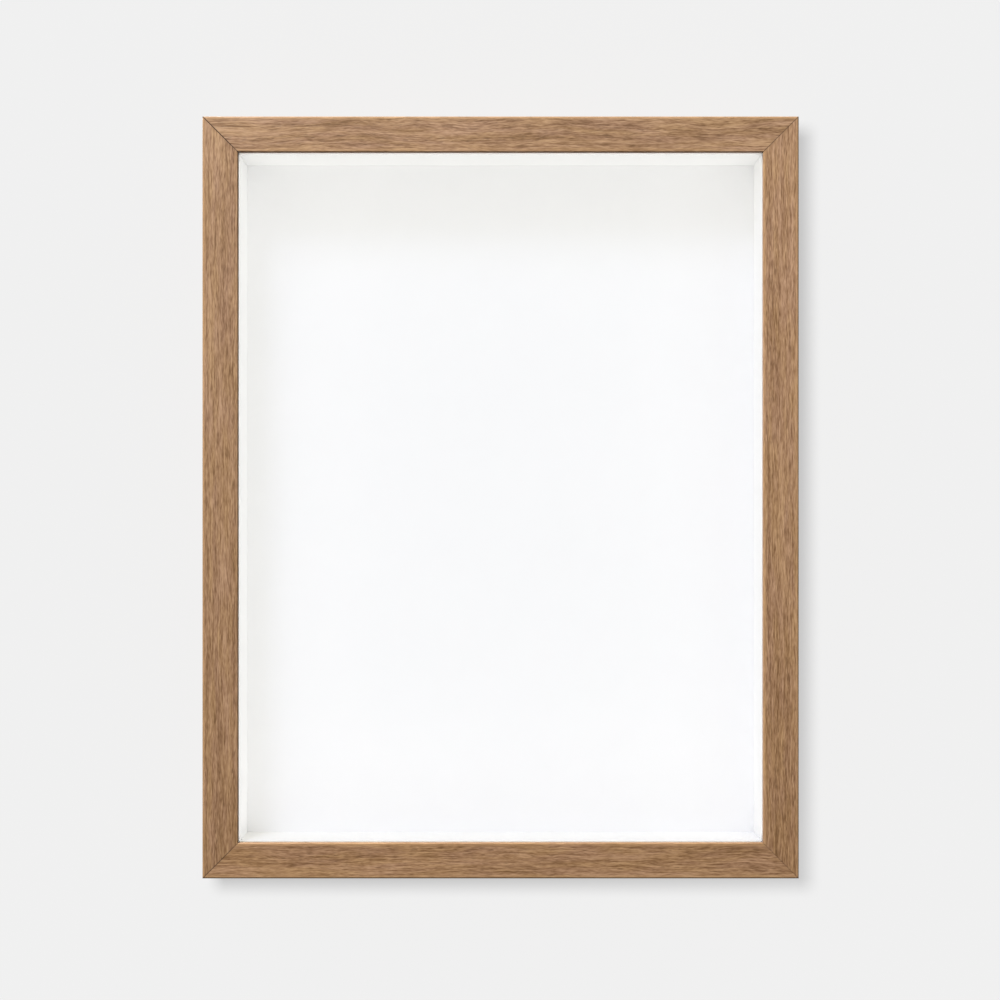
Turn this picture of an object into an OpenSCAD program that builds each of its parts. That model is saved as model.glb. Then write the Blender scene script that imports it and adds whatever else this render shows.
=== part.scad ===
// Floating frame: a mitred hardwood box frame with glazing, white spacers and a white
// mount board on which a picture floats. Six turn buttons hold the back in, and two
// D-rings carry the frame on wall hooks. +X runs right, +Y into the wall and +Z up.
// The origin is on the wall plane, behind the centre of the frame's outline.

/* [Frame] */
// Width over the outside of the rails
outer_w = 360; // [300:1:700]
// Height over the outside of the rails
outer_h = 460; // [420:1:900]
// Width of each rail's front face
face_w = 21.5; // [20:0.5:32]
// Depth of each rail, front to back
rail_depth = 40; // [34:1:60]
// Thickness of the lip in front of the glazing
lip_t = 3; // [2.5:0.5:6]
// Width of the rebate behind the lip
rebate_w = 6.5; // [5:0.5:7]
// Radius of the rails' outer front edge
arris_r = 1.2; // [0.4:0.1:2]
// Radius of the sight edge and of the outer rear edge
small_arris_r = 0.6; // [0.2:0.1:1]

/* [Contents] */
// Gap between the rebate's wall and the panes inside it
pane_gap = 0.5; // [0.3:0.1:0.8]
// Thickness of the glazing
glazing_t = 2.5; // [2:0.5:3]
// Thickness of the mount board that the picture floats on
mount_board_t = 2; // [1.5:0.5:3]
// Thickness of the foam board behind the mount board
foam_board_t = 4; // [3:1:5]
// Thickness of the fibreboard back
backing_t = 3; // [2.5:0.5:4]

/* [Turn buttons] */
// Length of a turn button from its screw to its tip
button_reach = 17.5; // [16:0.5:18]
// Width of a turn button
button_w = 10; // [8:0.5:11]
// Thickness of a turn button's sheet steel
button_t = 1.2; // [0.8:0.1:1.5]
// Height that a turn button's tip is bent up for the finger
button_lift = 1; // [0.5:0.1:1.2]

/* [Hangers] */
// Diameter of the D-ring's wire
ring_wire_d = 2.2; // [2:0.1:2.4]
// Clear width inside the D-ring
ring_clear_w = 13; // [12.5:0.5:14]
// Distance from the D-ring's hinge line to the middle of its bow's wire
ring_drop = 12; // [11:0.5:13]
// Width of the hanger strap
strap_w = 10; // [8:0.5:10]
// Length of the hanger strap from the hinge line to its round end
strap_l = 36; // [34:1:38]
// Thickness of the hanger strap
strap_t = 0.9; // [0.7:0.1:1]

/* [Wall bumpers] */
// Diameter of a wall bumper
bumper_d = 10; // [8:1:12]
// Thickness of a wall bumper, which is the gap between the rails and the wall
bumper_h = 5; // [5:0.5:8]

/* [Hidden] */
$fn = 48;
eps = 0.01;

// Planes from the wall to the front
back_y = -bumper_h;
front_y = back_y - rail_depth;
glazing_y = front_y + lip_t;
spacer_y = glazing_y + glazing_t;
backing_y = back_y - backing_t;
foam_y = backing_y - foam_board_t;
mount_y = foam_y - mount_board_t;
spacer_depth = mount_y - spacer_y;

// Panes and spacers inside the rebate
pane_w = outer_w - 2 * (face_w - rebate_w + pane_gap);
pane_h = outer_h - 2 * (face_w - rebate_w + pane_gap);
spacer_t = rebate_w - pane_gap;

// Screws: a pan head with a cross recess, a plain neck and a core in a pilot hole
head_r = 3.2;
head_h = 1.8;
recess_w = 0.8;
recess_l = 3.4;
recess_depth = 0.9;
neck_r = 1.7;
core_r = 1.25;
core_l = 11;
tip_l = 2.5;
pilot_r = core_r + 0.03;
pilot_l = core_l + 0.5;
neck_bore_r = neck_r + 0.05;

// Turn buttons: the ledge is the part of a rail's rear face outside the rebate
ledge_w = face_w - rebate_w;
button_u = ledge_w / 2;
button_gap = 0.1;
button_z = outer_h / 6;
button_bore_r = neck_r + 0.08;
bend_l = 4.5;
// Places of the pivots, [x, z, direction of the tip from +X towards +Z]
BUTTONS = [
    [0, outer_h / 2 - button_u, -90],
    [0, -outer_h / 2 + button_u, 90],
    [-outer_w / 2 + button_u, button_z, 0],
    [-outer_w / 2 + button_u, -button_z, 0],
    [outer_w / 2 - button_u, button_z, 180],
    [outer_w / 2 - button_u, -button_z, 180]
];

// Hangers: distances are measured down from the hinge line
hanger_x = outer_w / 2 - 9;
hanger_z = outer_h * 0.3;
ring_r = ring_wire_d / 2;
ring_half_w = ring_clear_w / 2 + ring_r;
ring_bend_r = 2;
eye_bore_r = ring_r + 0.08;
eye_r = eye_bore_r + strap_t;
eye_rise = strap_t + ring_r + 0.4;
STRAP_HOLES = [20, 31];

// Wall bumpers, clear of the corner's V-nails
bumper_inset = 22;
bumper_edge_r = 1;

// V-nails: two across each mitre, driven in from the rear
NAIL_PLACES = [3.5, 9];
nail_leg = 5;
nail_t = 0.6;
nail_h = 10;
nail_sink = 0.3;
nail_half_angle = 50;
nail_slack = 0.03;

// What is left of a square corner at the origin once it is rounded to radius r
module corner_waste(r) {
    difference() {
        translate([-1, -1]) square(r + 1);
        translate([r, r]) circle(r);
    }
}

// Section of a rail: x runs from its front face back, y from its outer side in
module rail_section() {
    difference() {
        square([rail_depth, face_w]);
        translate([lip_t, face_w - rebate_w]) square([rail_depth, rebate_w + 1]);
        corner_waste(arris_r);
        translate([0, face_w]) mirror([0, 1]) corner_waste(small_arris_r);
        translate([rail_depth, 0]) mirror([1, 0]) corner_waste(small_arris_r);
    }
}

// One rail along X, its outer side on z = 0 and its body above it, mitred at both ends
module rail(length) {
    half = length / 2;
    intersection() {
        translate([-half, front_y, 0])
            rotate([90, 0, 90]) linear_extrude(length) rail_section();
        translate([0, back_y + 1, 0]) rotate([90, 0, 0]) linear_extrude(rail_depth + 2)
            polygon([
                [-half - 1, -1], [half + 1, -1],
                [half - face_w - 1, face_w + 1], [-half + face_w + 1, face_w + 1]
            ]);
    }
}

// Plan of one V-nail: two legs from its point on the mitre, which runs along x
module nail_plan(slack) {
    for (side = [-1, 1])
        rotate(side * nail_half_angle)
            translate([-slack, -nail_t / 2 - slack]) square([nail_leg + 2 * slack, nail_t + 2 * slack]);
}

// All the V-nails, grown by slack and drawn out to the rear by reach for the slots that they cut
module nails(slack, reach) {
    for (sx = [-1, 1], sz = [-1, 1], place = NAIL_PLACES)
        translate([sx * (outer_w / 2 - place), back_y - nail_sink + reach, sz * (outer_h / 2 - place)])
            rotate([90, 0, 0])
                linear_extrude(nail_h + slack + reach)
                    rotate(atan2(-sz, -sx)) nail_plan(slack);
}

// Places its children at a rear-face point, with +Z turned to point at the wall
module on_back(x, z, rise) {
    translate([x, back_y + rise, z]) rotate([-90, 0, 0]) children();
}

// Pan-head screw standing on z = 0, its neck under it and its core below the neck
module screw(neck_l) {
    difference() {
        rotate_extrude() {
            intersection() {
                translate([0, head_h - head_r * 2]) circle(head_r * 2);
                square([head_r, head_h]);
            }
            translate([0, -neck_l]) square([neck_r, neck_l + eps]);
            translate([0, -core_l]) square([core_r, core_l]);
            polygon([[0, -core_l - tip_l], [core_r, -core_l], [0, -core_l]]);
        }
        for (turn = [0, 90])
            rotate(turn) translate([-recess_l / 2, -recess_w / 2, head_h - recess_depth])
                cube([recess_l, recess_w, recess_depth + 1]);
    }
}

// Pilot hole for a screw's core, from the rear face into the wood
module pilot() {
    translate([0, 0, -pilot_l - tip_l]) cylinder(r = pilot_r, h = pilot_l + tip_l + 1);
}

// Everything that is cut out of the rails from behind
module rail_cuts() {
    nails(nail_slack, nail_sink + 1);
    for (place = BUTTONS)
        on_back(place[0], place[1], 0) pilot();
    for (side = [-1, 1], drop = STRAP_HOLES)
        on_back(side * hanger_x, hanger_z - drop, 0) pilot();
}

module top_rail() {
    color([0.65, 0.51, 0.38]) difference() {
        translate([0, 0, outer_h / 2]) rotate([0, 180, 0]) rail(outer_w);
        rail_cuts();
    }
}

module bottom_rail() {
    color([0.58, 0.44, 0.32]) difference() {
        translate([0, 0, -outer_h / 2]) rail(outer_w);
        rail_cuts();
    }
}

module side_rail(side) {
    color([0.62, 0.48, 0.35]) difference() {
        translate([side * outer_w / 2, 0, 0]) rotate([0, -side * 90, 0]) rail(outer_h);
        rail_cuts();
    }
}

module v_nails() {
    color("slategray") nails(0, 0);
}

// A pane that fills the rebate, from the plane y back by its thickness
module pane(y, thickness) {
    translate([-pane_w / 2, y, -pane_h / 2]) cube([pane_w, thickness, pane_h]);
}

module glazing() {
    color([0.85, 0.93, 0.95, 0.25]) pane(glazing_y, glazing_t);
}

// Spacer along the top or bottom, between the two side spacers
module level_spacer(side) {
    color([0.96, 0.96, 0.95])
        translate([0, spacer_y + spacer_depth / 2, side * (pane_h - spacer_t) / 2])
            cube([pane_w - 2 * spacer_t, spacer_depth, spacer_t], center = true);
}

// Spacer along one side, over the whole height of the pane
module upright_spacer(side) {
    color([0.96, 0.96, 0.95])
        translate([side * (pane_w - spacer_t) / 2, spacer_y + spacer_depth / 2, 0])
            cube([spacer_t, spacer_depth, pane_h], center = true);
}

module mount_board() {
    color([0.98, 0.98, 0.98]) pane(mount_y, mount_board_t);
}

module foam_board() {
    color([0.93, 0.93, 0.91]) pane(foam_y, foam_board_t);
}

module backing_board() {
    color([0.60, 0.47, 0.34]) pane(backing_y, backing_t);
}

// Plan of a turn button with its pivot at the origin and its tip along x
module button_plan() {
    tip_r = button_w / 2 - 1;
    circle(button_w / 2);
    polygon([
        [0, -button_w / 2], [button_reach - tip_r, -tip_r],
        [button_reach - tip_r, tip_r], [0, button_w / 2]
    ]);
    translate([button_reach - tip_r, 0]) circle(tip_r);
}

// Side view of a turn button: flat sheet whose last stretch is bent up for a finger
module button_side() {
    flat_end = button_reach - bend_l;
    polygon([
        [-button_w, 0], [flat_end, 0], [button_reach + 1, button_lift],
        [button_reach + 1, button_lift + button_t], [flat_end, button_t], [-button_w, button_t]
    ]);
}

module turn_button(place) {
    color([0.72, 0.70, 0.66])
        on_back(place[0], place[1], button_gap) rotate(-place[2]) difference() {
            intersection() {
                linear_extrude(button_lift + button_t + 1) button_plan();
                translate([0, button_w, 0]) rotate([90, 0, 0])
                    linear_extrude(2 * button_w) button_side();
            }
            translate([0, 0, -1]) cylinder(r = button_bore_r, h = button_t + 2);
        }
}

module turn_button_screws() {
    seat = 2 * button_gap + button_t;
    color([0.80, 0.78, 0.72])
        for (place = BUTTONS)
            on_back(place[0], place[1], seat) screw(seat);
}

// Hanger strap: a plate with a rolled eye that holds the D-ring's straight bar
module hanger_strap(side) {
    color([0.74, 0.72, 0.68])
        on_back(side * hanger_x, hanger_z, 0) difference() {
            union() {
                linear_extrude(strap_t) {
                    translate([-strap_w / 2, 0]) square([strap_w, strap_l - strap_w / 2]);
                    translate([0, strap_l - strap_w / 2]) circle(strap_w / 2);
                }
                translate([-strap_w / 2, 0, eye_rise]) rotate([0, 90, 0])
                    cylinder(r = eye_r, h = strap_w);
            }
            translate([-strap_w / 2 - 1, 0, eye_rise]) rotate([0, 90, 0])
                cylinder(r = eye_bore_r, h = strap_w + 2);
            for (drop = STRAP_HOLES)
                translate([0, drop, -1]) cylinder(r = neck_bore_r, h = strap_t + 2);
        }
}

// One bend of the D-ring's wire about the origin, in the x-y plane
module wire_bend(radius, turn) {
    rotate_extrude(angle = turn) translate([radius, 0]) circle(ring_r, $fn = 24);
}

// One straight stretch of the D-ring's wire, from the origin along +X
module wire_run(length) {
    rotate([0, 90, 0]) cylinder(r = ring_r, h = length, $fn = 24);
}

// D-ring that hangs from the eye: its straight bar, two bends, two legs and its bow
module hanger_ring(side) {
    bar = ring_half_w - ring_bend_r;
    leg_end = ring_drop - ring_half_w;
    color([0.78, 0.76, 0.72])
        on_back(side * hanger_x, hanger_z, eye_rise) {
            translate([-bar, 0, 0]) wire_run(2 * bar);
            for (hand = [0, 1])
                mirror([hand, 0, 0]) {
                    translate([bar, ring_bend_r, 0]) rotate(-90) wire_bend(ring_bend_r, 90);
                    translate([ring_half_w, ring_bend_r, 0]) rotate(90)
                        wire_run(leg_end - ring_bend_r);
                }
            translate([0, leg_end, 0]) wire_bend(ring_half_w, 180);
        }
}

module hanger_screws() {
    color([0.80, 0.78, 0.72])
        for (side = [-1, 1], drop = STRAP_HOLES)
            on_back(side * hanger_x, hanger_z - drop, strap_t) screw(strap_t);
}

module bumper(side, level) {
    color([0.90, 0.90, 0.88])
        on_back(side * (outer_w / 2 - bumper_inset), level * (outer_h / 2 - button_u), 0)
            rotate_extrude() difference() {
                square([bumper_d / 2, bumper_h]);
                translate([bumper_d / 2, bumper_h]) rotate(180) corner_waste(bumper_edge_r);
            }
}

top_rail();
bottom_rail();
side_rail(-1);  // left_rail
side_rail(1);  // right_rail
v_nails();
glazing();
level_spacer(1);  // spacer_top
level_spacer(-1);  // spacer_bottom
upright_spacer(-1);  // spacer_left
upright_spacer(1);  // spacer_right
mount_board();
foam_board();
backing_board();
turn_button(BUTTONS[0]);  // turn_button_top
turn_button(BUTTONS[1]);  // turn_button_bottom
turn_button(BUTTONS[2]);  // turn_button_upper_left
turn_button(BUTTONS[3]);  // turn_button_lower_left
turn_button(BUTTONS[4]);  // turn_button_upper_right
turn_button(BUTTONS[5]);  // turn_button_lower_right
turn_button_screws();
hanger_strap(-1);  // hanger_strap_left
hanger_strap(1);  // hanger_strap_right
hanger_ring(-1);  // hanger_ring_left
hanger_ring(1);  // hanger_ring_right
hanger_screws();
bumper(-1, 1);  // bumper_upper_left
bumper(-1, -1);  // bumper_lower_left
bumper(1, 1);  // bumper_upper_right
bumper(1, -1);  // bumper_lower_right
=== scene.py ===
"""Floating frame: the looks of a mitred oak box frame with white spacers and mount board."""

import math

import bpy
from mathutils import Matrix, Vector


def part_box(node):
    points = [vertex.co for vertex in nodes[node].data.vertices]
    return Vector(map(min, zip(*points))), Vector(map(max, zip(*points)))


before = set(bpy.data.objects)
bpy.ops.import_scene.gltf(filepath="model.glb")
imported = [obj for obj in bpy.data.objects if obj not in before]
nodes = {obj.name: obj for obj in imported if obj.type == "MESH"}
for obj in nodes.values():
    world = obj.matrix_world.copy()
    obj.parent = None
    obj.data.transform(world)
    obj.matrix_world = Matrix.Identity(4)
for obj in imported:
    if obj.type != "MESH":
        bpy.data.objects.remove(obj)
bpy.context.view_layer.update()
MM = 0.001

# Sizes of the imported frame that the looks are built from, in metres
half_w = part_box("right_rail")[1].x
half_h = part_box("top_rail")[1].z
front_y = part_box("top_rail")[0].y
face_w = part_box("left_rail")[1].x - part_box("left_rail")[0].x

# The view: a level camera below the frame's middle, with its lens shifted up to centre the frame
FRAME_SHARE = 0.7628  # share of the view's height that the frame's front fills
EYE_DISTANCE = 0.814  # from the front faces
EYE_DROP = 0.024  # how far the camera stands below the frame's middle
CENTRE_LIFT = 0.0026  # shares of the view by which the frame sits above and right of its middle
CENTRE_RIGHT = 0.0006
SENSOR = 36.0

# The wall and the surround, in linear radiance
WALL_RADIANCE = 0.872  # of the wall, and of the surround where the camera sees it
WORLD_LIGHT = 0.264  # of the surround, as light on the frame
WALL_HALF = 0.36  # half of the wall's width and height
WALL_ALBEDO = 0.10
WALL_LAMP = (-0.164, -0.945, 0.116)  # the lamp that casts the frame's shadow on the wall
WALL_LAMP_RADIUS = 0.13
WALL_LAMP_SHARE = 0.42  # its share of the wall's brightness, straight in front of it

# Colours of the light inside the recess
RECESS_KEY_COLOUR = (0.69, 0.74, 1.0)
RECESS_FILL_COLOUR = (1.0, 0.99, 0.95)
LOW_FILL_COLOUR = (1.0, 0.92, 0.56)


# ---------------------------------------------------------------- node graphs


class Graph:
    """A node tree with short calls for what the materials share."""

    def __init__(self, tree):
        self.tree = tree

    def node(self, kind, **inputs):
        made = self.tree.nodes.new(kind)
        for name, value in inputs.items():
            self.feed(made.inputs[name], value)
        return made

    def feed(self, socket, value):
        if isinstance(value, bpy.types.NodeSocket):
            self.tree.links.new(value, socket)
        else:
            socket.default_value = value

    def math(self, operation, *values, clamp=False):
        made = self.tree.nodes.new("ShaderNodeMath")
        made.operation = operation
        made.use_clamp = clamp
        for socket, value in zip(made.inputs, values):
            self.feed(socket, value)
        return made.outputs[0]

    def vector(self, operation, *values):
        made = self.tree.nodes.new("ShaderNodeVectorMath")
        made.operation = operation
        for socket, value in zip(made.inputs, values):
            self.feed(socket, value)
        return made.outputs[0]

    def position(self):
        return self.tree.nodes.new("ShaderNodeTexCoord").outputs["Object"]

    def split(self, vector):
        return self.node("ShaderNodeSeparateXYZ", Vector=vector).outputs

    def join(self, x, y, z):
        return self.node("ShaderNodeCombineXYZ", X=x, Y=y, Z=z).outputs[0]

    def noise(self, vector, cell, detail=2.0, rough=0.5):
        """Noise whose cells measure cell, in metres along each axis."""
        stretched = self.vector("DIVIDE", vector, cell)
        made = self.node("ShaderNodeTexNoise", Vector=stretched, Scale=1.0,
                         Detail=detail, Roughness=rough)
        return made.outputs[0]

    def cells(self, vector, cell):
        """Distance to the nearest of scattered points, with cells that measure cell."""
        stretched = self.vector("DIVIDE", vector, cell)
        made = self.node("ShaderNodeTexVoronoi", Vector=stretched, Scale=1.0, Randomness=1.0)
        return made.outputs["Distance"]

    def spread(self, value, low, high, to_low=0.0, to_high=1.0, smooth=False):
        """Maps value from low..high to to_low..to_high and clamps it."""
        made = self.tree.nodes.new("ShaderNodeMapRange")
        made.interpolation_type = "SMOOTHSTEP" if smooth else "LINEAR"
        for socket, number in zip(made.inputs, (value, low, high, to_low, to_high)):
            self.feed(socket, number)
        return made.outputs[0]

    def ramp(self, value, stops):
        made = self.node("ShaderNodeValToRGB", Fac=value)
        elements = made.color_ramp.elements
        while len(elements) < len(stops):
            elements.new(0.5)
        for element, (place, colour) in zip(elements, stops):
            element.position = place
            element.color = (*colour, 1.0)
        return made.outputs[0]

    def mix(self, share, a, b, blend="MIX"):
        made = self.tree.nodes.new("ShaderNodeMix")
        made.data_type = "RGBA"
        made.blend_type = blend
        self.feed(made.inputs["Factor"], share)
        for socket, colour in zip((made.inputs[6], made.inputs[7]), (a, b)):
            self.feed(socket, (*colour, 1.0) if isinstance(colour, tuple) else colour)
        return made.outputs[2]

    def bump(self, height, depth, strength):
        made = self.node("ShaderNodeBump", Height=height, Strength=strength, Distance=depth)
        return made.outputs[0]


def new_material(name):
    """A material with a bare Principled shader; returns it, its graph and the shader."""
    material = bpy.data.materials.new(name)
    material.use_nodes = True
    tree = material.node_tree
    tree.nodes.clear()
    shader = tree.nodes.new("ShaderNodeBsdfPrincipled")
    output = tree.nodes.new("ShaderNodeOutputMaterial")
    tree.links.new(shader.outputs[0], output.inputs[0])
    return material, Graph(tree), shader


def scaled(colour, share):
    return tuple(channel * share for channel in colour)


def dress(node, material):
    """Gives a CAD node its finished material."""
    for slot in nodes[node].material_slots:
        slot.material = material


# ---------------------------------------------------------------- materials

OAK_DARK = (0.200, 0.104, 0.047)
OAK_MIDDLE = (0.362, 0.209, 0.113)
OAK_LIGHT = (0.520, 0.325, 0.190)
OAK_HONEY = (0.560, 0.330, 0.158)
GLUE_LINE = (0.040, 0.022, 0.013)
# Dark brown that the lip's inner face is painted towards as painted shade
LIP_PAINTED_SHADE = (0.026, 0.009, 0.003)
BOARD_DARK = (0.150, 0.084, 0.042)
BOARD_MIDDLE = (0.235, 0.140, 0.075)
BOARD_LIGHT = (0.330, 0.212, 0.124)
BOARD_FLECK = (0.105, 0.060, 0.032)


def oak_figure(g, length, across, depth, seed, sway):
    """The layers of a plank's figure. Its grain runs along length and wanders by sway."""
    own_place = (seed * 0.37, seed * 0.113, seed * 0.071)
    shifted = g.vector("ADD", g.join(length, across, depth), own_place)

    # The grain wanders from side to side on its way along the rail
    slow = g.noise(shifted, (0.110, 0.040, 0.040), detail=1.0)
    quick = g.noise(shifted, (0.030, 0.009, 0.009), detail=1.0)
    wander = g.math("ADD", g.math("MULTIPLY", g.math("SUBTRACT", slow, 0.5), sway * 2.2),
                    g.math("MULTIPLY", g.math("SUBTRACT", quick, 0.5), sway))
    bent = g.vector("ADD", shifted, g.join(0.0, wander, 0.0))

    # Growth rings about a pith well outside the rail
    parts = g.split(bent)
    pith = g.join(0.0, g.math("ADD", parts[1], 0.045), g.math("ADD", parts[2], 0.08))
    radius = g.vector("LENGTH", pith).node.outputs["Value"]
    ring = g.noise(g.join(parts[0], radius, 0.0), (0.300, 0.0032, 1.0), detail=1.5)

    # Long and short streaks, fibres, broad patches, and pores that crowd the dark rings
    streak = g.noise(bent, (0.0100, 0.00085, 0.00085), detail=2.0, rough=0.5)
    fibre = g.noise(bent, (0.0036, 0.00045, 0.00045), detail=1.5)
    patch = g.noise(bent, (0.060, 0.0085, 0.0085), detail=1.0)
    long_streak = g.noise(bent, (0.050, 0.00125, 0.00125), detail=1.0)
    warmth = g.noise(bent, (0.034, 0.0045, 0.0045), detail=2.0)
    pore = g.spread(g.noise(bent, (0.0052, 0.00055, 0.00055), detail=1.0), 0.61, 0.69)
    pore = g.math("MULTIPLY", pore, g.spread(ring, 0.38, 0.60, 1.0, 0.35))

    lightness = g.math("MULTIPLY_ADD", g.math("SUBTRACT", streak, 0.5), 1.25, 0.5)
    for layer, weight in ((long_streak, 0.55), (ring, 0.40), (patch, 0.35), (fibre, 0.85)):
        lightness = g.math("MULTIPLY_ADD", g.math("SUBTRACT", layer, 0.5), weight, lightness)
    return lightness, streak, fibre, patch, warmth, pore


def oak(name, along, half_along, half_across, seed, tone, sway, painted_lip_light, painted_arris_light):
    """Oiled oak for one rail. along is the axis its grain runs on: 0 for X, 2 for Z."""
    material, g, shader = new_material(name)
    axes = g.split(g.position())
    length, across, depth = axes[along], axes[2 - along], axes[1]
    lightness, streak, fibre, patch, warmth, pore = oak_figure(g, length, across, depth, seed, sway)

    stops = [(0.15, OAK_DARK), (0.50, OAK_MIDDLE), (0.85, OAK_LIGHT)]
    colour = g.ramp(lightness, [(place, scaled(shade, tone)) for place, shade in stops])
    colour = g.mix(g.math("MULTIPLY", pore, 0.55), colour, scaled(OAK_DARK, 0.62 * tone))
    golden = g.mix(g.spread(warmth, 0.36, 0.64), (1.0, 0.99, 1.045), (1.005, 1.0, 0.92))
    # Painted shade: the rails darken and warm towards the bottom, as the light falls off downwards
    low = g.mix(g.spread(axes[2], -half_h, half_h), (0.97, 0.94, 0.880), (1.0, 1.0, 1.0))
    colour = g.mix(1.0, g.mix(1.0, colour, golden, "MULTIPLY"), low, "MULTIPLY")

    # Distances from the rail's edges, its mitres and its front face
    from_outside = g.math("SUBTRACT", half_across, g.math("ABSOLUTE", across))
    from_sight = g.math("SUBTRACT", face_w, from_outside)
    from_end = g.math("SUBTRACT", half_along, g.math("ABSOLUTE", length))
    from_mitre = g.math("SUBTRACT", from_end, from_outside)
    from_front = g.math("SUBTRACT", depth, front_y)
    on_front = g.spread(from_front, 1.5 * MM, 3.0 * MM, 1.0, 0.0)

    # Arrises rubbed to a honey tone; on the inner arris it is also a painted highlight, weaker on
    # the rails whose sight edge is turned from the light
    ragged = g.math("MULTIPLY", g.math("SUBTRACT", patch, 0.5), 1.6 * MM)
    rubbed_out = g.spread(g.math("ADD", from_outside, ragged), 1.2 * MM, 2.4 * MM, 1.0, 0.0)
    rubbed_and_lit_in = g.spread(g.math("ADD", from_sight, ragged), 1.2 * MM, 2.0 * MM, 1.0, 0.0)
    rubbed_and_lit_in = g.math("MULTIPLY", rubbed_and_lit_in, painted_lip_light)
    rubbed = g.math("MULTIPLY", g.math("MAXIMUM", rubbed_out, rubbed_and_lit_in), on_front)
    colour = g.mix(g.math("MULTIPLY", rubbed, 0.42), colour, scaled(OAK_HONEY, tone))

    # Painted shade on the lip's inner face, deepest at the top and left where the sight edge is
    # turned from the light, and painted shade on the outer arris at the bottom and right, with a
    # touch of painted light at the left
    lip = g.spread(from_sight, 0.02 * MM, 0.25 * MM, 1.0 - painted_lip_light, 0.0)
    colour = g.mix(lip, colour, LIP_PAINTED_SHADE)
    edge = g.spread(from_outside, 0.30 * MM, 1.30 * MM, painted_arris_light, 1.0)
    edge = g.math("MAXIMUM", edge, g.math("SUBTRACT", 1.0, on_front))
    colour = g.mix(1.0, colour, g.join(edge, edge, edge), "MULTIPLY")

    # The fine line of glue where the mitres meet, plainest at the upper left
    open_left = g.spread(axes[0], -0.1, 0.1, 0.92, 0.50)
    open_above = g.spread(axes[2], -0.1, 0.1, 0.75, 1.0)
    uneven = g.spread(patch, 0.25, 0.55, 0.55, 1.0)
    seam = g.spread(from_mitre, 0.20 * MM, 0.60 * MM, 1.0, 0.0, smooth=True)
    tightness = g.math("MULTIPLY", open_left, g.math("MULTIPLY", open_above, uneven))
    seam = g.math("MULTIPLY", seam, tightness)
    colour = g.mix(seam, colour, GLUE_LINE)

    height = g.math("MULTIPLY_ADD", pore, -0.8, g.math("MULTIPLY", fibre, 0.5))
    rough = g.math("MAXIMUM", g.spread(streak, 0.3, 0.7, 0.62, 0.46), seam)
    g.feed(shader.inputs["Base Color"], colour)
    g.feed(shader.inputs["Roughness"], rough)
    g.feed(shader.inputs["Normal"], g.bump(height, 0.12 * MM, 0.55))
    shader.inputs["Specular IOR Level"].default_value = 0.28
    return material


def paper(name, colour, cell, mottle, tooth):
    """Acid-free board: a faint mottle of cotton fibres and the tooth of its pressed face."""
    material, g, shader = new_material(name)
    place = g.position()
    cloud = g.noise(place, (cell * 14,) * 3, detail=3.0)
    fibres = g.noise(place, (cell * 2.5, cell, cell), detail=3.0, rough=0.65)
    shade = g.math("ADD", g.math("MULTIPLY", cloud, 0.5), g.math("MULTIPLY", fibres, 0.5))
    tint = g.ramp(shade, [(0.30, scaled(colour, 1.0 - mottle)), (0.70, colour)])
    g.feed(shader.inputs["Base Color"], tint)
    g.feed(shader.inputs["Roughness"], g.spread(fibres, 0.3, 0.7, 0.80, 0.92))
    g.feed(shader.inputs["Normal"], g.bump(fibres, tooth, 0.5))
    shader.inputs["Specular IOR Level"].default_value = 0.2
    return material


def fibreboard():
    """Brown hardboard for the back: short matted fibres, darker flecks and a smooth press face."""
    material, g, shader = new_material("hardboard")
    place = g.position()
    cloud = g.noise(place, (0.060, 0.060, 0.060), detail=2.0)
    felt = g.noise(place, (0.0016, 0.0016, 0.0011), detail=3.0, rough=0.6)
    level = g.noise(g.vector("ADD", place, (0.4, 0.0, 0.1)), (0.0042, 0.001, 0.0008), detail=2.0)
    upright = g.noise(g.vector("ADD", place, (0.1, 0.0, 0.7)), (0.0008, 0.001, 0.0042), detail=2.0)
    fleck = g.spread(g.math("MAXIMUM", level, upright), 0.66, 0.74)
    value = g.math("MULTIPLY_ADD", g.math("SUBTRACT", felt, 0.5), 1.3, 0.5)
    value = g.math("MULTIPLY_ADD", g.math("SUBTRACT", cloud, 0.5), 0.22, value)
    colour = g.ramp(value, [(0.2, BOARD_DARK), (0.5, BOARD_MIDDLE), (0.8, BOARD_LIGHT)])
    colour = g.mix(g.math("MULTIPLY", fleck, 0.45), colour, BOARD_FLECK)
    g.feed(shader.inputs["Base Color"], colour)
    g.feed(shader.inputs["Roughness"], g.spread(felt, 0.3, 0.7, 0.58, 0.74))
    g.feed(shader.inputs["Normal"], g.bump(felt, 0.10 * MM, 0.5))
    shader.inputs["Specular IOR Level"].default_value = 0.3
    return material


def clear_glazing():
    """Anti-reflective glazing: almost nothing but a faint cool film with a trace of dust."""
    material, g, shader = new_material("glazing")
    place = g.position()
    haze = g.noise(place, (0.050, 0.050, 0.050), detail=3.0)
    dust = g.spread(g.cells(place, (0.004, 0.004, 0.004)), 0.04, 0.10, 1.0, 0.0)
    tint = g.ramp(haze, [(0.3, (0.86, 0.89, 0.885)), (0.7, (0.92, 0.94, 0.935))])
    dusted = g.mix(g.math("MULTIPLY", dust, 0.3), tint, (0.95, 0.95, 0.93))
    g.feed(shader.inputs["Base Color"], dusted)
    g.feed(shader.inputs["Roughness"], g.spread(haze, 0.3, 0.7, 0.03, 0.07))
    shader.inputs["Alpha"].default_value = 0.05
    shader.inputs["Specular IOR Level"].default_value = 0.25
    return material


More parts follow.
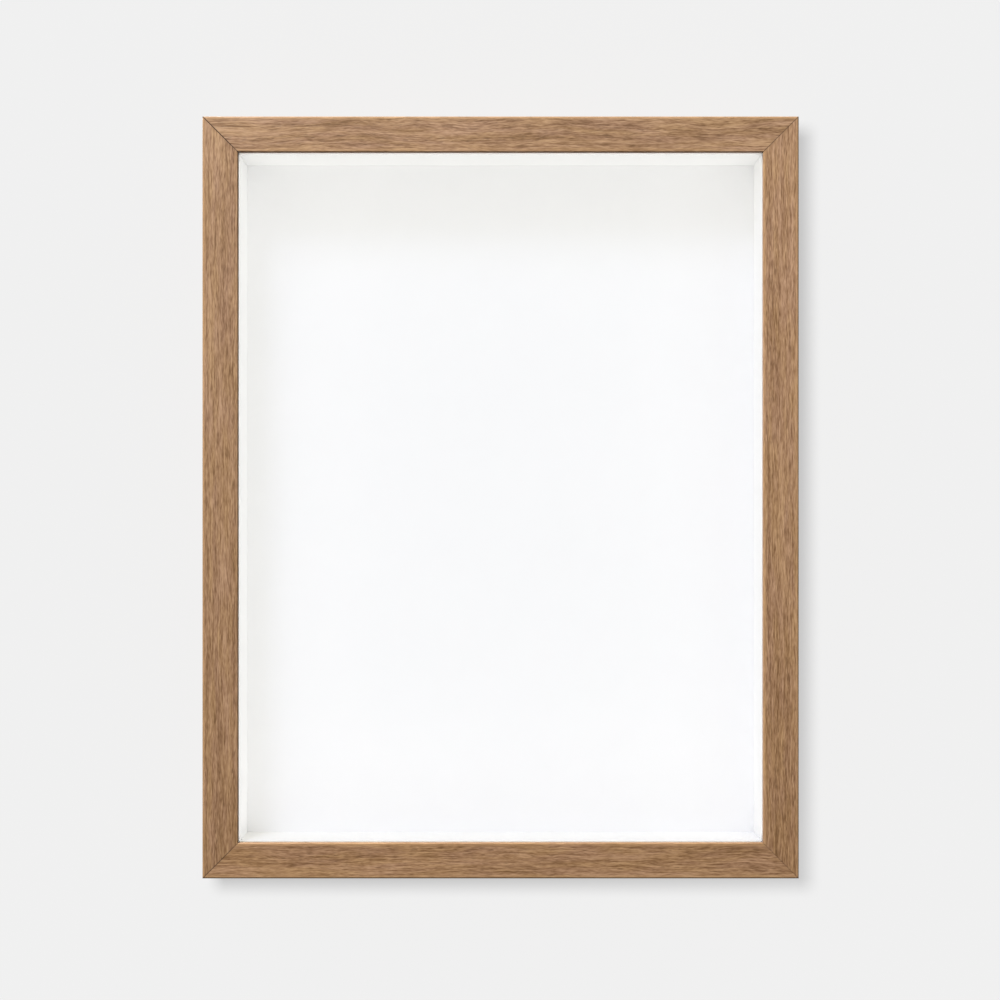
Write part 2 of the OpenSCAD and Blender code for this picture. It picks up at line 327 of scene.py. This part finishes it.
def plated_steel(name, colour, rough, brushed):
    """Plated steel: a soft spangle, rolling marks along the sheet and a few rubbed spots."""
    material, g, shader = new_material(name)
    place = g.position()
    spangle = g.cells(place, (0.0014, 0.0014, 0.0014))
    rolled = g.noise(place, (0.0003, 0.0003, 0.006), detail=2.0)
    worn = g.noise(place, (0.0035, 0.0035, 0.0035), detail=3.0)
    shade = g.math("MULTIPLY_ADD", g.math("SUBTRACT", rolled, 0.5), brushed, worn)
    stops = [(0.25, scaled(colour, 0.66)), (0.50, scaled(colour, 0.92)), (0.80, colour)]
    tint = g.ramp(shade, stops)
    gloss = g.math("MULTIPLY_ADD", g.math("SUBTRACT", spangle, 0.3), 0.16, rough)
    gloss = g.math("MULTIPLY_ADD", g.math("SUBTRACT", worn, 0.5), 0.25, gloss, clamp=True)
    g.feed(shader.inputs["Base Color"], tint)
    g.feed(shader.inputs["Roughness"], gloss)
    g.feed(shader.inputs["Normal"], g.bump(rolled, 0.02 * MM, 0.4))
    shader.inputs["Metallic"].default_value = 1.0
    return material


def soft_rubber():
    """Grey bumper rubber: a matte skin with fine moulding grain and specks of dust."""
    material, g, shader = new_material("bumper_rubber")
    place = g.position()
    grain = g.noise(place, (0.0005, 0.0005, 0.0005), detail=3.0)
    dust = g.spread(g.noise(place, (0.0011, 0.0011, 0.0011), detail=1.0), 0.62, 0.72)
    tint = g.ramp(grain, [(0.3, (0.34, 0.335, 0.32)), (0.7, (0.44, 0.435, 0.415))])
    dusted = g.mix(g.math("MULTIPLY", dust, 0.35), tint, (0.62, 0.60, 0.56))
    g.feed(shader.inputs["Base Color"], dusted)
    g.feed(shader.inputs["Roughness"], g.spread(grain, 0.3, 0.7, 0.62, 0.82))
    g.feed(shader.inputs["Normal"], g.bump(grain, 0.06 * MM, 0.6))
    shader.inputs["Subsurface Weight"].default_value = 0.08
    shader.inputs["Subsurface Scale"].default_value = 1.5 * MM
    return material


# ---------------------------------------------------------------- the object


def soften(node, width, segments=2):
    """Eases a CAD node's hard edges, as a sanded or pressed edge is."""
    piece = nodes[node]
    weld = piece.modifiers.new("weld", "WELD")
    weld.merge_threshold = 0.005 * MM
    flat = piece.modifiers.new("flat", "DECIMATE")
    flat.decimate_type = "DISSOLVE"
    flat.angle_limit = math.radians(0.5)
    ease = piece.modifiers.new("ease", "BEVEL")
    ease.width = width
    ease.segments = segments
    ease.limit_method = "ANGLE"
    ease.angle_limit = math.radians(35)
    ease.harden_normals = False
    even = piece.modifiers.new("even", "WEIGHTED_NORMAL")
    even.keep_sharp = False


RAILS = [
    # node, grain axis, seed, tone, sway, painted light on the lip's edge, painted light on the
    # outer arris (below 1 is painted shade)
    ("top_rail", 0, 1.0, 1.02, 3.4 * MM, 0.45, 1.00),
    ("bottom_rail", 0, 2.3, 1.13, 2.8 * MM, 0.85, 0.62),
    ("left_rail", 2, 3.7, 0.99, 1.4 * MM, 0.45, 1.05),
    ("right_rail", 2, 5.1, 1.12, 1.8 * MM, 0.75, 0.80),
]
for node, along, *figure in RAILS:
    half_along, half_across = (half_w, half_h) if along == 0 else (half_h, half_w)
    dress(node, oak("oak_" + node, along, half_along, half_across, *figure))
    soften(node, 0.14 * MM)

dress("mount_board", paper("cotton_board", (0.93, 0.93, 0.935), 0.8 * MM, 0.015, 0.05 * MM))
dress("foam_board", paper("foam_core_board", (0.86, 0.86, 0.84), 0.7 * MM, 0.04, 0.05 * MM))
spacer_white = paper("spacer_board", (0.92, 0.92, 0.915), 0.6 * MM, 0.025, 0.05 * MM)
for node in ("spacer_top", "spacer_bottom", "spacer_left", "spacer_right"):
    dress(node, spacer_white)
    soften(node, 0.15 * MM)
dress("backing_board", fibreboard())
soften("backing_board", 0.3 * MM)
dress("glazing", clear_glazing())

zinc = plated_steel("zinc_plate", (0.50, 0.50, 0.49), 0.40, 0.6)
nickel = plated_steel("nickel_plate", (0.56, 0.54, 0.50), 0.32, 0.4)
yellow_zinc = plated_steel("yellow_zinc_plate", (0.72, 0.62, 0.40), 0.34, 0.3)
bare_steel = plated_steel("nail_strip", (0.52, 0.53, 0.55), 0.42, 0.6)
for node in nodes:
    if node.startswith("turn_button_") and node != "turn_button_screws":
        dress(node, zinc)
        soften(node, 0.12 * MM)
    elif node.startswith("hanger_strap"):
        dress(node, nickel)
        soften(node, 0.10 * MM)
    elif node.startswith("hanger_ring"):
        dress(node, nickel)
    elif node.endswith("_screws"):
        dress(node, yellow_zinc)
        soften(node, 0.06 * MM, 1)
    elif node.startswith("bumper"):
        dress(node, soft_rubber())
dress("v_nails", bare_steel)


# ---------------------------------------------------------------- wall, camera and light


def wall():
    """The pale wall behind the frame. It can't be seen from behind and casts no shade."""
    mesh = bpy.data.meshes.new("wall")
    corners = [(x * WALL_HALF, 0, z * WALL_HALF) for x, z in ((-1, -1), (1, -1), (1, 1), (-1, 1))]
    mesh.from_pydata(corners, [], [(0, 1, 2, 3)])
    piece = bpy.data.objects.new("wall", mesh)
    bpy.context.scene.collection.objects.link(piece)
    material = bpy.data.materials.new("wall_paint")
    material.use_nodes = True
    g = Graph(material.node_tree)
    material.node_tree.nodes.clear()
    # The lamp's light falls off with the cube of its reach, from distance squared and slant, and
    # the wall's own glow makes up for it
    reach = g.vector("LENGTH", g.vector("SUBTRACT", g.position(), WALL_LAMP)).node.outputs["Value"]
    lit = g.math("POWER", g.math("DIVIDE", -WALL_LAMP[1], reach), 3.0)
    own_light = WALL_RADIANCE - WORLD_LIGHT * WALL_ALBEDO
    glow = g.node("ShaderNodeEmission",
                  Strength=g.math("MULTIPLY_ADD", lit, -WALL_RADIANCE * WALL_LAMP_SHARE, own_light))
    paint = g.node("ShaderNodeBsdfDiffuse", Color=(WALL_ALBEDO,) * 3 + (1.0,))
    both = g.node("ShaderNodeAddShader")
    g.feed(both.inputs[0], glow.outputs[0])
    g.feed(both.inputs[1], paint.outputs[0])
    clear = g.node("ShaderNodeBsdfTransparent")
    side = g.node("ShaderNodeNewGeometry").outputs["Backfacing"]
    faced = g.node("ShaderNodeMixShader")
    g.feed(faced.inputs[0], side)
    g.feed(faced.inputs[1], both.outputs[0])
    g.feed(faced.inputs[2], clear.outputs[0])
    output = g.node("ShaderNodeOutputMaterial")
    g.feed(output.inputs[0], faced.outputs[0])
    mesh.materials.append(material)
    piece.visible_shadow = False
    piece.visible_diffuse = False
    piece.visible_glossy = False
    return piece


def only_for(light, pieces, name):
    """Makes a light fall on these pieces alone."""
    group = bpy.data.collections.new(name)
    for piece in pieces:
        group.objects.link(piece)
    light.light_linking.receiver_collection = group


def aimed(name, data, place, target):
    light = bpy.data.objects.new(name, data)
    bpy.context.scene.collection.objects.link(light)
    light.location = place
    light.rotation_mode = "QUATERNION"
    light.rotation_quaternion = (Vector(target) - Vector(place)).to_track_quat("-Z", "Y")
    return light


def sun(name, direction, irradiance, angle, colour):
    """Light from far off. direction points from the frame to the light."""
    data = bpy.data.lights.new(name, "SUN")
    data.energy = irradiance
    data.angle = math.radians(angle)
    data.color = colour
    return aimed(name, data, direction, (0, 0, 0))


def panel(name, place, watts, size, colour=(1.0, 1.0, 1.0), target=(0, 0, 0)):
    """A square softbox."""
    data = bpy.data.lights.new(name, "AREA")
    data.energy = watts
    data.size = size
    data.color = colour
    return aimed(name, data, place, target)


def lamp(name, place, watts, radius):
    data = bpy.data.lights.new(name, "POINT")
    data.energy = watts
    data.shadow_soft_size = radius
    return aimed(name, data, place, (0, 0, 0))


def world_light():
    """An even white surround: bright to the camera, dimmer as light on the frame."""
    world = bpy.data.worlds.new("surround")
    bpy.context.scene.world = world
    world.use_nodes = True
    g = Graph(world.node_tree)
    world.node_tree.nodes.clear()
    seen = g.node("ShaderNodeLightPath").outputs["Is Camera Ray"]
    strength = g.spread(seen, 0.0, 1.0, WORLD_LIGHT, WALL_RADIANCE)
    surround = g.node("ShaderNodeBackground", Color=(1.0, 1.0, 1.0, 1.0), Strength=strength)
    g.feed(g.node("ShaderNodeOutputWorld").inputs[0], surround.outputs[0])


wall_piece = wall()
world_light()

# White paint that faces a lamp of W watts and radius R from D away has a radiance of
# W / (4 pi^2 (D^2 + R^2))
lamp_spread = 4 * math.pi ** 2 * (WALL_LAMP[1] ** 2 + WALL_LAMP_RADIUS ** 2)
lamp_watts = WALL_RADIANCE * WALL_LAMP_SHARE / WALL_ALBEDO * lamp_spread
wall_key = lamp("wall_key", WALL_LAMP, lamp_watts, WALL_LAMP_RADIUS)
only_for(wall_key, [wall_piece], "lit_by_wall_key")

rail_key = panel("rail_key", (-1.28, -1.40, 2.42), watts=147, size=0.75, target=(0, front_y, 0))
only_for(rail_key, [nodes[row[0]] for row in RAILS], "lit_by_rail_key")

inside = [nodes[n] for n in nodes if n.startswith("spacer") or n in ("mount_board", "glazing")]
recess_key = sun("recess_key", (-0.55, -1.0, 1.7), irradiance=0.86, angle=18,
                 colour=RECESS_KEY_COLOUR)
only_for(recess_key, inside, "lit_by_recess_key")
recess_fill = sun("recess_fill", (0, -1, 0), irradiance=2.16, angle=130,
                  colour=RECESS_FILL_COLOUR)
only_for(recess_fill, inside, "lit_by_recess_fill")

# The bottom spacer faces the bluish recess key, so its fill is weaker and warmer
SPACER_FILLS = [
    ("side_fill", ("top", "left", "right"), 41, RECESS_FILL_COLOUR),
    ("low_fill", ("bottom",), 22, LOW_FILL_COLOUR),
]
for name, sides, watts, colour in SPACER_FILLS:
    fill = panel(name, (0.03, -1.2, 0), watts, size=3.0, colour=colour)
    only_for(fill, [nodes["spacer_" + side] for side in sides], "lit_by_" + name)

panel("rear_key", (-0.9, 1.1, 1.1), watts=24, size=0.9)
panel("rear_fill", (1.2, 0.9, 0.1), watts=12, size=1.7)

view_height = 2 * half_h / FRAME_SHARE
camera = bpy.data.cameras.new("camera")
camera.sensor_width = SENSOR
camera.lens = SENSOR * EYE_DISTANCE / view_height
camera.shift_x = -CENTRE_RIGHT
camera.shift_y = EYE_DROP / view_height - CENTRE_LIFT
eye = bpy.data.objects.new("camera", camera)
eye.location = (0, front_y - EYE_DISTANCE, -EYE_DROP)
eye.rotation_euler = (math.radians(90), 0, 0)
bpy.context.scene.collection.objects.link(eye)
bpy.context.scene.camera = eye
bpy.context.scene.view_settings.view_transform = "Standard"
